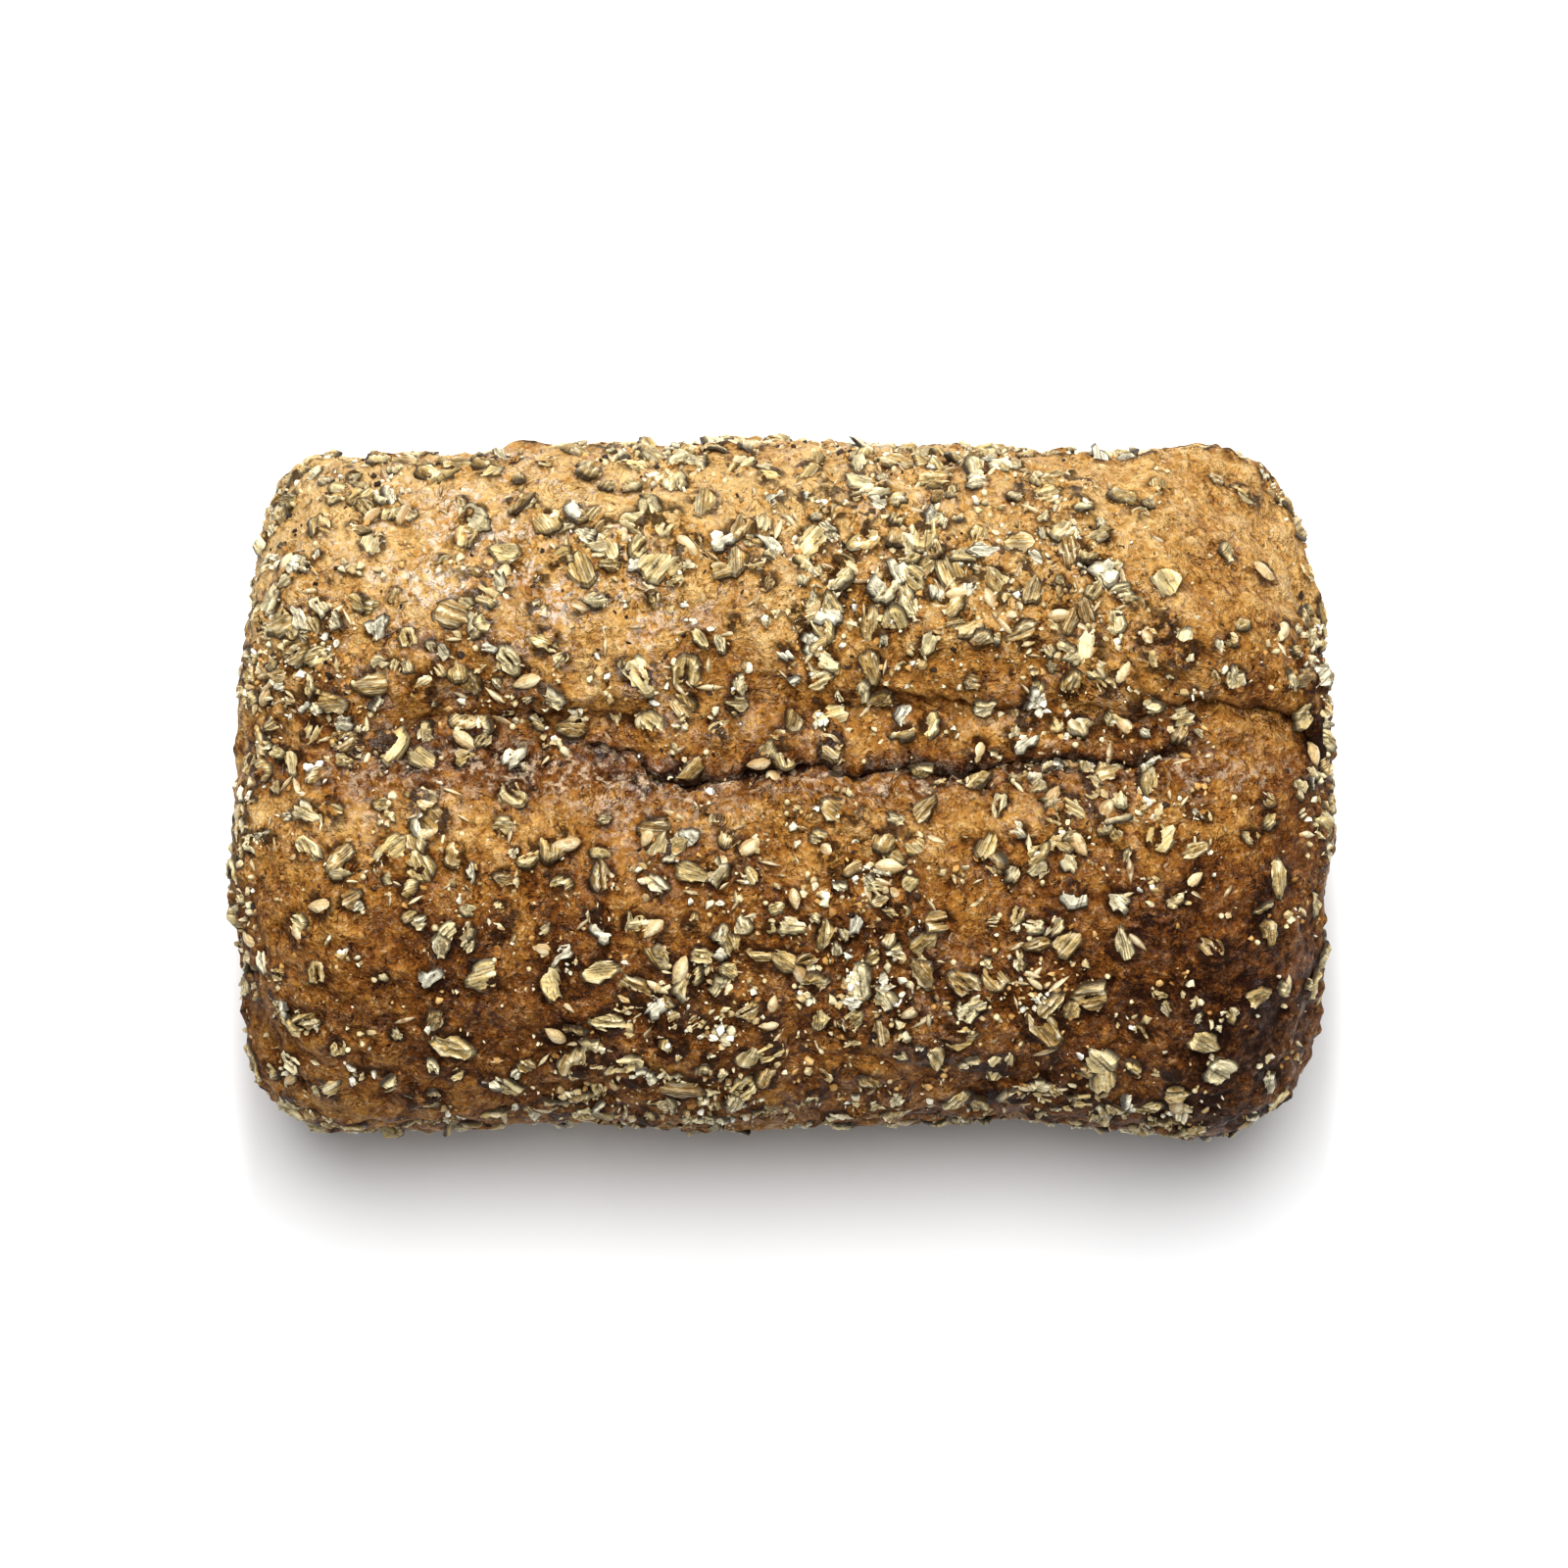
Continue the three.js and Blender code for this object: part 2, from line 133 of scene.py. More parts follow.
# Where the crust shines and where pale glints are painted on it as painted highlight, as [x, y, size, amount].
GLAZED_SPOTS = [
    [-62, 44, 26, 1.0], [-28, 36, 16, 0.6], [-28, -2, 14, 0.8], [5, 0, 12, 0.5], [20, 62, 20, 0.4], [60, 8, 20, 0.35],
    [-80, 0, 12, 0.4], [30, -52, 14, 0.3], [100, -60, 14, 0.25],
]

# Crust mesh
CROWN_COLUMNS = 222
WALL_COLUMNS = 34  # on each side, down to the middle of the underside
ROWS = 330

# Number of each kind of topping, besides the solid's own flakes
MORE_FLAKES = 600
OAT_FLAKES = 480
KERNELS = 110
SLIVERS = 760
MILLET = 260
CHIP_HEAPS = 255  # heaps of white broken grain
GROATS = 1300
GRIT = 4600
CRUST_BUMPS = 1500  # grit baked over with crust
# dark crumbs: burnt husk, and painted shade in the gaps among the grain
BURNT_AND_SHADE_BITS = 1500


def smooth(low, high, value):
    s = np.clip((value - low) / (high - low), 0, 1)
    return s * s * (3 - 2 * s)


def mix(a, b, s):
    return a + (b - a) * s


def power(value, exponent):
    return np.sign(value) * np.abs(value) ** exponent


def bell(value, width):
    return np.exp(-((value / width) ** 2))


# A column of a knot table at x, eased between neighbouring knots.
def along(knots, x, column):
    knots = np.array(knots, float)
    i = np.clip(np.searchsorted(knots[:, 0], x, side="right"), 1, len(knots) - 1)
    before, after = knots[i - 1], knots[i]
    return mix(before[..., column], after[..., column], smooth(before[..., 0], after[..., 0], x))


# Bends a resting line across the valley to where the three lines are at x.
def bent(home, x):
    homes = [BEND_FRONT, RIDGE_HOME, CRACK_HOME, LEDGE_HOME, BEND_BACK]
    lines = [BEND_FRONT, along(RIDGE, x, 1), along(CRACK, x, 1), along(LEDGE, x, 1), BEND_BACK]
    moved = home
    for a, b, line_a, line_b in zip(homes, homes[1:], lines, lines[1:]):
        inside = (home > a) & (home < b) | (home == a) & (a > BEND_FRONT)
        moved = np.where(inside, mix(line_a, line_b, (home - a) / (b - a)), moved)
    return moved


# How far the seam moves a point of the crown sideways and upwards.
def seam(home, x):
    ledge = LEDGE_DEPTH * along(LEDGE, x, 2)
    sharp = along(LEDGE, x, 3)
    opened = along(CRACK, x, 2)
    ridge = along(RIDGE, x, 2)
    lip = np.clip((home - CRACK_HOME) / CRACK_LIP, 0, 1)
    step = np.clip((home - LEDGE_HOME) / mix(LEDGE_SOFT_RUN, LEDGE_SHARP_RUN, sharp), 0, 1)
    slit = np.where(home <= CRACK_HOME, smooth(RIDGE_HOME, CRACK_HOME, home), (1 - lip) ** 2)
    foot = np.where(home <= LEDGE_HOME, smooth(CRACK_HOME + CRACK_LIP, LEDGE_HOME, home), (1 - step) ** 2)
    up = RIDGE_RISE * ridge * bell(home - RIDGE_HOME, RIDGE_WIDTH)
    up = up - VALLEY_DEPTH * bell(home - VALLEY_MIDDLE, VALLEY_WIDTH)
    up = up - TROUGH_DEPTH * ridge * bell(home - CRACK_HOME, TROUGH_WIDTH)
    up = up - CRACK_DEPTH * opened * slit - ledge * foot
    aside = -LIP_OVERHANG * opened * np.sin(np.pi * lip) - 0.5 * ledge * sharp * np.sin(np.pi * step)
    return aside, up


# The uneven swelling of the dough.
def swelling(x, y, z):
    broad = 0.9 * np.sin(x / 19 + 0.9 * np.sin(y / 24 + 1)) * np.cos(y / 21 + 0.5)
    middling = 0.6 * np.sin(x / 9.7 + y / 12.3 + 2.1) * np.sin(y / 10.9 - x / 31 + 0.4)
    fine = 0.35 * np.sin(x / 5.1 - y / 7.3) * np.sin(z / 6.3 + x / 14 + y / 5.9)
    return (broad + middling + fine) * smooth(0, 24, z)


# A quarter of a rounded box of half sides 1: along its side, round its corner and across its end.
def rounded_quarter(s, corner_along, corner_across):
    angle = np.pi / 2 * np.clip((s - SIDE_RUN) / CORNER_RUN, 0, 1)
    to_middle = np.clip((1 - s) / (1 - SIDE_RUN - CORNER_RUN), 0, 1)
    round_corner = 1 - corner_along * (1 - np.sin(angle))
    lengthwise = np.where(s <= SIDE_RUN, s / SIDE_RUN * (1 - corner_along), round_corner)
    return lengthwise, (1 - corner_across * (1 - np.cos(angle))) * to_middle


# The cross-section's y and height over the widest level.
def section(turn):
    rise = np.sin(turn)
    crown_y = HALF_WIDTH * power(np.cos(turn), 2 / CROWN_POWER)
    crown_height = (HEIGHT - WIDEST_LEVEL) * np.maximum(rise, 0) ** (2 / CROWN_POWER)
    fall = np.arcsin(np.clip(-rise, 0, 1)) / (np.pi / 2)
    down, across = rounded_quarter(fall, FOOT_RADIUS / WIDEST_LEVEL, FOOT_RADIUS / HALF_WIDTH)
    wall_y = np.sign(np.cos(turn)) * HALF_WIDTH * across * (1 - BASE_NARROWING * down)
    return np.where(rise >= 0, crown_y, wall_y), np.where(rise >= 0, crown_height, -WIDEST_LEVEL * down)


# How far out an end face is at a point of the cross-section.
def end_at(run, y, height):
    lean = END_BULGE_LEAN * smooth(-0.5, 0.5, run)
    bulge = 1 - np.minimum(1, np.abs((y + lean) / HALF_WIDTH)) ** END_BULGE_POWER
    return HALF_LENGTH + END_BULGE * bulge * smooth(0, END_BULGE_LEVEL, height + WIDEST_LEVEL)


# The outline in the direction turn, as shares of the length and of the cross-section.
def outline(run, turn):
    crown = smooth(0, 0.6, np.sin(turn))
    front = smooth(-0.3, 0.3, -np.cos(turn))
    base = CORNER_BASE + CORNER_FRONT * front + np.where(run > 0, CORNER_RIGHT, 0)
    slack = np.where(run > 0, CORNER_SLACK, -CORNER_TIGHTNESS) * smooth(-0.1, 0.7, np.cos(turn))
    corner = mix(base, CORNER_CROWN + slack, crown) / HALF_LENGTH
    drop = mix(base / HALF_WIDTH, CORNER_DROP, crown)
    lengthwise, share = rounded_quarter(np.abs(run), corner, drop)
    return np.sign(run) * lengthwise, share * (1 - BARREL * crown * lengthwise**2)


# Points of the loaf's surface, for arrays of runs along it and turns round it.
def surface(run, turn):
    home, height = section(turn)
    lengthwise, share = outline(run, turn)
    x = lengthwise * end_at(run, home * share, height * share)
    aside, up = seam(home, x)
    above = height > 0
    y = np.where(above, bent(home, x) + aside, home) * share + SWAY * (0.55 - 1.6 * (x / HALF_LENGTH) ** 2)
    z = WIDEST_LEVEL + (height + np.where(above, up * smooth(0, 0.35, np.sin(turn)), 0)) * share
    x = x + LOBE_SHIFT * (smooth(-35, 20, y) - 0.5)
    points = np.stack([x, y, z], -1)
    core = np.stack([np.clip(x, -75, 75), np.clip(y, -30, 30), np.full_like(x, WIDEST_LEVEL)], -1)
    outward = points - core
    outward /= np.linalg.norm(outward, axis=-1, keepdims=True)
    return points + outward * swelling(x, y, z)[..., None]


def normals_at(run, turn):
    step = 0.002
    lengthwise = surface(run + step, turn) - surface(run - step, turn)
    round_it = surface(run, turn + step) - surface(run, turn - step)
    normal = np.cross(round_it, lengthwise)
    return normal / np.linalg.norm(normal, axis=-1, keepdims=True)


# Values at even distances along a path.
def evenly(start, end, steps, path, fine=1200):
    values = mix(start, end, np.arange(fine + 1) / fine)
    xy = np.stack(path(values), -1)
    lengths = np.concatenate([[0], np.cumsum(np.hypot(*np.diff(xy, axis=0).T))])
    return np.interp(lengths[-1] * np.arange(steps + 1) / steps, lengths, values)


# A smooth random field over points, from 0 to 1.
def cloudy(points, size, seed):
    spot = points / size + seed * 17.3
    cell = np.floor(spot)
    ease = (spot - cell) ** 2 * (3 - 2 * (spot - cell))
    total = np.zeros(points.shape[:-1])
    for corner in itertools.product((0, 1), repeat=3):
        scrambled = np.sin((cell + corner) @ np.array([127.1, 311.7, 74.7])) * 43758.5453
        weight = np.prod(np.where(corner, ease, 1 - ease), -1)
        total += weight * (scrambled - np.floor(scrambled))
    return total


# How thick the grain lies at points, against the average.
def grain_density(points, normals):
    upper = normals[..., 2] > 0.2
    density = np.where(upper, 1.0, 0.5)
    for x, y, radius, factor in PATCHES:
        away = np.hypot(points[..., 0] - x, points[..., 1] - y) / radius
        density = density * np.where(upper, mix(1, factor, np.exp(-(away**2))), 1)
    return density


# Where the smaller grain of the looks lies thicker or thinner still.
def own_patches(points):
    density = np.ones(points.shape[:-1])
    for x, y, radius, factor in LOOKS_PATCHES:
        away = np.hypot(points[..., 0] - x, points[..., 1] - y) / radius
        density = density * mix(1, factor, np.exp(-(away**2)) * (points[..., 2] > WIDEST_LEVEL))
    return density


# Even tables of runs and turns, so that a draw from each lands anywhere with nearly the same chance.
def even_tables(fine=400):
    def profile(run):
        lengthwise, share = outline(run, np.full_like(run, np.pi / 2))
        return lengthwise * HALF_LENGTH, share * WIDEST_LEVEL

    return evenly(-1, 1, fine, profile), evenly(0, 2 * np.pi, fine, section)


# The seeded draws of the solid's flakes.
def solid_draws(tries):
    state = FLAKE_SEED
    draws = []
    for _ in range(tries * DRAWS_PER_TRY):
        state = (1664525 * state + 1013904223) % 4294967296
        draws.append(state / 4294967296)
    return np.array(draws).reshape(tries, DRAWS_PER_TRY)


# The solid's own flakes, in the same places and sizes.
def solid_flakes(runs, turns):
    draws = solid_draws(3000)
    run = runs[np.floor(draws[:, 0] * 400).astype(int)]
    turn = turns[np.floor(draws[:, 1] * 400).astype(int)]
    points = surface(run, turn)
    normals = normals_at(run, turn)
    allowed = draws[:, 2] <= outline(run, turn)[1]
    allowed &= points[:, 2] >= LOWEST_FLAKE
    allowed &= draws[:, 3] * 2 <= grain_density(points, normals)
    places = []
    for i in np.flatnonzero(allowed):
        length = mix(FLAKE_LONGEST, FLAKE_SHORTEST, len(places) / FLAKE_COUNT) * mix(0.92, 1.08, draws[i, 4])
        others = np.array([place["point"] for place in places]).reshape(-1, 3)
        lengths = np.array([place["length"] for place in places])
        if np.any(np.linalg.norm(others - points[i], axis=1) < FLAKE_SPACING * (lengths + length) / 2):
            continue
        places.append({
            "point": points[i],
            "normal": normals[i],
            "length": length,
            "width": length * mix(0.52, 0.8, draws[i, 7]),
            "thickness": mix(0.9, 1.5, draws[i, 5]) + 0.4,
            "yaw": 2 * math.pi * draws[i, 8],
            "tip": (mix(-0.2, 0.2, draws[i, 9]), mix(-0.12, 0.12, draws[i, 4])),
            "shade": draws[i, 6],
        })
        if len(places) == FLAKE_COUNT:
            return places
    return places


# Seeded draws of places on the crust, more of them where the grain lies thicker.
def candidates(tries, rng, patchiness, lowest, share_kept):
    run = RUNS[rng.integers(0, len(RUNS), tries)]
    turn = TURNS[rng.integers(0, len(TURNS), tries)]
    points = surface(run, turn)
    normals = normals_at(run, turn)
    allowed = rng.random(tries) <= outline(run, turn)[1]
    allowed &= points[:, 2] >= lowest
    clumps = mix(1, 2.2 * smooth(0.3, 0.75, cloudy(points, 13, 9)), min(1, 0.4 * patchiness))
    allowed &= rng.random(tries) * share_kept <= (grain_density(points, normals) * own_patches(points)) ** patchiness * clumps
    return run, turn, points, normals, np.flatnonzero(allowed)


# Scatters more places over the crust. Gap is the least distance to others as a share of their mean length.
def scattered(count, sizes, flatness, thickness, gap, others, rng, patchiness=1.0, lowest=3.0, lift=0.0, tip=0.2):
    _, _, points, normals, allowed = candidates(count * 24, rng, patchiness, lowest, 3.2)
    cells = {}
    for place in others:
        cells.setdefault(tuple((place["point"] // 6).astype(int)), []).append(place)
    places = []
    for i in allowed:
        length = mix(sizes[0], sizes[1], rng.random() ** 1.4)
        cell = (points[i] // 6).astype(int)
        near = [p for step in itertools.product((-1, 0, 1), repeat=3) for p in cells.get(tuple(cell + step), ())]
        if any(np.linalg.norm(p["point"] - points[i]) < gap * (p["length"] + length) / 2 for p in near):
            continue
        place = drawn_place(points[i] + normals[i] * lift * rng.random(), normals[i], length, flatness, thickness, tip, rng)
        cells.setdefault(tuple(cell), []).append(place)
        places.append(place)
        if len(places) == count:
            break
    return places


def drawn_place(point, normal, length, flatness, thickness, tip, rng):
    return {
        "point": point,
        "normal": normal,
        "length": length,
        "width": length * rng.uniform(*flatness),
        "thickness": rng.uniform(*thickness),
        "yaw": rng.uniform(0, 2 * math.pi),
        "tip": (rng.normal(0, tip), rng.normal(0, tip)),
        "shade": rng.random(),
    }


# Heaps of broken grain: places drawn close round each of a number of middles.
def heaped(heaps, pieces, reach, sizes, flatness, thickness, rng, patchiness=1.2, lift=0.6, tip=0.5):
    run, turn, points, _, allowed = candidates(heaps * 24, rng, patchiness, 3.0, 3.2)
    chosen = np.repeat(allowed[:heaps], rng.integers(*pieces, min(heaps, len(allowed))))
    step = 0.002
    run, turn = run[chosen], turn[chosen]
    along_run = np.linalg.norm(surface(run + step, turn) - surface(run, turn), axis=1) / step
    along_turn = np.linalg.norm(surface(run, turn + step) - surface(run, turn), axis=1) / step
    run = np.clip(run + rng.normal(0, reach, len(run)) / np.maximum(along_run, 20), -0.99, 0.99)
    turn = turn + rng.normal(0, reach, len(turn)) / np.maximum(along_turn, 20)
    points = surface(run, turn)
    normals = normals_at(run, turn)
    places = []
    for point, normal in zip(points, normals):
        length = mix(sizes[0], sizes[1], rng.random() ** 1.4)
        places.append(drawn_place(point + normal * lift * rng.random(), normal, length, flatness, thickness, tip, rng))
    return places


# Closed faces over rings of points: a cap point, rings of equal size, and a last cap point.
def ring_faces(rings, around):
    faces = []
    last = 1 + rings * around
    for k in range(around):
        following = (k + 1) % around
        faces.append((0, 1 + k, 1 + following))
        for r in range(rings - 1):
            here, below = 1 + r * around, 1 + (r + 1) * around
            faces.append((here + k, below + k, below + following, here + following))
        low = 1 + (rings - 1) * around
        faces.append((last, low + following, low + k))
    return faces


# A rolled flake along X, 1 long, wide and thick: lumpy, with ridges along it and a broken edge, and in some a slit
# along its middle, and a skirt of painted shade round its base. A shape is its points and faces, and for each point
# how much painted shade it takes in a hollow and how much painted highlight it takes near the light.
def flake_shape(rng, broken, slit, around=15):
    angle = np.arange(around) * 2 * np.pi / around + rng.uniform(-0.12, 0.12, around)
    phase = rng.uniform(0, 2 * np.pi, 3)
    edge = 1 + 0.06 * np.cos(2 * angle + phase[0]) + 0.08 * np.cos(3 * angle + phase[1])
    edge -= broken * rng.random(around) ** 2
    waves = [(rng.normal(0, 2.5), rng.normal(0, 6), rng.uniform(0, 2 * np.pi)) for _ in range(3)]
    curl = rng.uniform(-0.2, 0.7)
    lift = [rng.uniform(0, 0.5) * max(0, math.cos(a - phase[2])) ** 3 for a in angle]
    # Rings as [radius, height, painted shade]; the last two make the dark skirt on the crust.
    rings = (
        (0.22, 1.0, 0.0), (0.44, 1.0, 0.0), (0.64, 1.0, 0.0), (0.82, 0.95, 0.0), (0.95, 0.75, 0.0), (1.0, 0.35, 0.7),
        (1.18, 0.1, 1.0), (1.2, -0.3, 1.0),
    )
    points, hollow_shade, crest_highlight = [], [], []

    def add(x, y, level, depth, raised=0.0):
        folds = sum(1 - 2 * abs(math.sin(along_x * x + along_y * y + start)) for along_x, along_y, start in waves) / 3
        groove = slit * bell(y, 0.045) * max(0, 1 - (2.9 * x) ** 2)
        upper = smooth(0.4, 0.9, level)
        height = level * (0.75 + 0.3 * folds + curl * (4 * y * y - 0.3) + raised) - 0.6 * groove * upper
        points.append((x, y, height + rng.normal(0, 0.09)))
        hollow_shade.append(min(1, depth + upper * (groove + 0.6 * smooth(0.1, -0.7, folds))))
        crest_highlight.append(min(1, upper * (smooth(0.1, 0.7, folds) + 2 * raised)))

    add(0, 0, 1, 0)
    for radius, level, depth in rings:
        for k in range(around):
            reach = 0.5 * radius * edge[k]
            add(reach * math.cos(angle[k]), reach * math.sin(angle[k]), level, depth, lift[k] * radius**3)
    add(0, 0, -1, 1)
    return np.array(points), ring_faces(len(rings), around), np.array(hollow_shade), np.array(crest_highlight)


# A plump kernel along X, 1 long and wide, its height above the crust 1, with painted shade on its underside and a
# painted highlight in a stripe along its top.
def kernel_shape(rng, pointed, around=10, stations=9):
    points, hollow_shade, crest_highlight = [(-0.5, 0, 0.1)], [0.3], [0.0]
    skew = rng.uniform(0.8, 1.2)
    for i in range(1, stations):
        s = i / stations
        radius = math.sin(math.pi * s**skew) ** (0.6 + pointed) * (1 - 0.3 * pointed * s)
        for k in range(around):
            angle = 2 * math.pi * k / around
            y = 0.5 * radius * math.cos(angle) * (1 + rng.normal(0, 0.03))
            points.append((s - 0.5, y, 0.1 + 0.9 * radius * math.sin(angle)))
            hollow_shade.append(min(1, 0.9 * max(0, 0.35 - math.sin(angle))))
            crest_highlight.append(0.8 * max(0, math.sin(angle + 0.5)) ** 6 * radius)
    points.append((0.5, 0, 0.1))
    hollow_shade.append(0.5)
    crest_highlight.append(0)
    faces = [tuple(reversed(face)) for face in ring_faces(stations - 1, around)]
    return np.array(points), faces, np.array(hollow_shade), np.array(crest_highlight)


# An angular crumb, broken flat on several sides, with painted shade on its underside.
def crumb_shape(rng, around=6):
    angle = np.arange(around) * 2 * np.pi / around + rng.uniform(-0.4, 0.4, around)
    edge = rng.uniform(0.45, 1.15, around)
    points = [(rng.normal(0, 0.15), rng.normal(0, 0.15), rng.uniform(0.7, 1.2))]
    hollow_shade = [0.0]
    for radius, height, depth in ((0.62, 0.85, 0.0), (1.0, 0.3, 0.1), (0.9, -0.4, 1.0)):
        for k in range(around):
            x = 0.5 * radius * edge[k] * math.cos(angle[k])
            y = 0.5 * radius * edge[k] * math.sin(angle[k])
            points.append((x, y, height + rng.normal(0, 0.15)))
            hollow_shade.append(depth)
    points.append((0, 0, -0.6))
    hollow_shade.append(1)
    return np.array(points), ring_faces(3, around), np.array(hollow_shade), np.zeros(len(points))


# Turns a place into the matrix that lays a shape on the crust there.
def laying_matrix(place):
    upright = Vector((0, 0, 1)).rotation_difference(Vector(place["normal"])).to_matrix()
    yaw = Euler((0, 0, place["yaw"])).to_matrix()
    tip_x = Euler((place["tip"][0], 0, 0)).to_matrix()
    tip_y = Euler((0, place["tip"][1], 0)).to_matrix()
    return np.array(upright @ yaw @ tip_x @ tip_y)


# Makes one mesh object from points in millimetres, faces, and named values for each point.
def make_piece(name, points, faces, values, material, sharp=None):
    mesh = bpy.data.meshes.new(name)
    mesh.from_pydata((points * MM).tolist(), [], faces)
    for key, data in values.items():
        layer = mesh.attributes.new(key, "FLOAT", "POINT")
        layer.data.foreach_set("value", np.asarray(data, np.float32))
    mesh.materials.append(material)
    mesh.shade_smooth()
    if sharp is not None:
        mesh.set_sharp_from_angle(angle=math.radians(sharp))
    piece = bpy.data.objects.new(name, mesh)
    bpy.context.scene.collection.objects.link(piece)
    return piece


# Joins one shape for each place into a piece.
def grain_piece(name, places, shapes, material, sharp=40):
    points, faces = [], []
    values = {"hollow_shade": [], "crest_highlight": [], "shade": [], "across": []}
    start = 0
    for i, place in enumerate(places):
        shape, shape_faces, hollow_shade, crest_highlight = shapes[i % len(shapes)]
        size = np.array([place["length"], place["width"], place["thickness"]])
        laid = (shape * size) @ laying_matrix(place).T + place["point"]
        laid[:, 2] = np.maximum(laid[:, 2], 0)
        points.append(laid)
        faces.extend(tuple(start + k for k in face) for face in shape_faces)
        values["hollow_shade"].append(hollow_shade)
        values["crest_highlight"].append(crest_highlight)
        values["shade"].append(np.full(len(shape), place["shade"]))
        values["across"].append(shape[:, 1])
        start += len(shape)
    joined = {key: np.concatenate(data) for key, data in values.items()}
    piece = make_piece(name, np.concatenate(points), faces, joined, material, sharp)
    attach(piece, "root")
    return piece


# Nodes
def node(tree, kind, inputs=None, **settings):
    made = tree.nodes.new("ShaderNode" + kind)
    for key, value in settings.items():
        setattr(made, key, value)
    for key, value in (inputs or {}).items():
        if isinstance(value, bpy.types.NodeSocket):
            tree.links.new(value, made.inputs[key])
        else:
            made.inputs[key].default_value = value
    return made


def value_of(tree, name):
    return node(tree, "Attribute", attribute_name=name).outputs["Fac"]


def maths(tree, operation, a, b, clamp=False):
    return node(tree, "Math", {0: a, 1: b}, operation=operation, use_clamp=clamp).outputs[0]


def place_vector(tree):
    return node(tree, "TexCoord").outputs["Object"]


# Noise whose grains are about size millimetres across.
def noise(tree, size, detail=3.0, roughness=0.55, distortion=0.0, vector=None):
    inputs = {
        "Vector": vector or place_vector(tree),
        "Scale": 0.6 / (size * MM),
        "Detail": detail,
        "Roughness": roughness,
        "Distortion": distortion,
    }
    return node(tree, "TexNoise", inputs).outputs["Fac"]


def ramp(tree, fac, stops):
    made = node(tree, "ValToRGB", {"Fac": fac})
    elements = made.color_ramp.elements
    while len(elements) < len(stops):
        elements.new(0.5)
    for element, (position, colour) in zip(elements, stops):
        element.position = position
        element.color = (*colour, 1) if len(colour) == 3 else colour
    return made.outputs["Color"]


# Rises from 0 to 1 as value goes from low to high.
def between(tree, value, low, high):
    inputs = {"Value": value, "From Min": low, "From Max": high}
    return node(tree, "MapRange", inputs, interpolation_type="SMOOTHSTEP").outputs["Result"]


def blend_colour(tree, fac, a, b, how="MIX"):
    made = node(tree, "Mix", data_type="RGBA", blend_type=how, clamp_factor=True)
    for socket, value in ((made.inputs["Factor"], fac), (made.inputs[6], a), (made.inputs[7], b)):
        if isinstance(value, bpy.types.NodeSocket):
            tree.links.new(value, socket)
        elif isinstance(value, tuple):
            socket.default_value = (*value, 1)
        else:
            socket.default_value = value
    return made.outputs[2]


def new_material(name):
    material = bpy.data.materials.new(name)
    material.use_nodes = True
    tree = material.node_tree
    return material, tree, tree.nodes["Principled BSDF"]


def shifted(tree, amount):
    inputs = {"Vector": place_vector(tree), "Location": (amount, amount * 0.7, -amount)}
    return node(tree, "Mapping", inputs).outputs["Vector"]
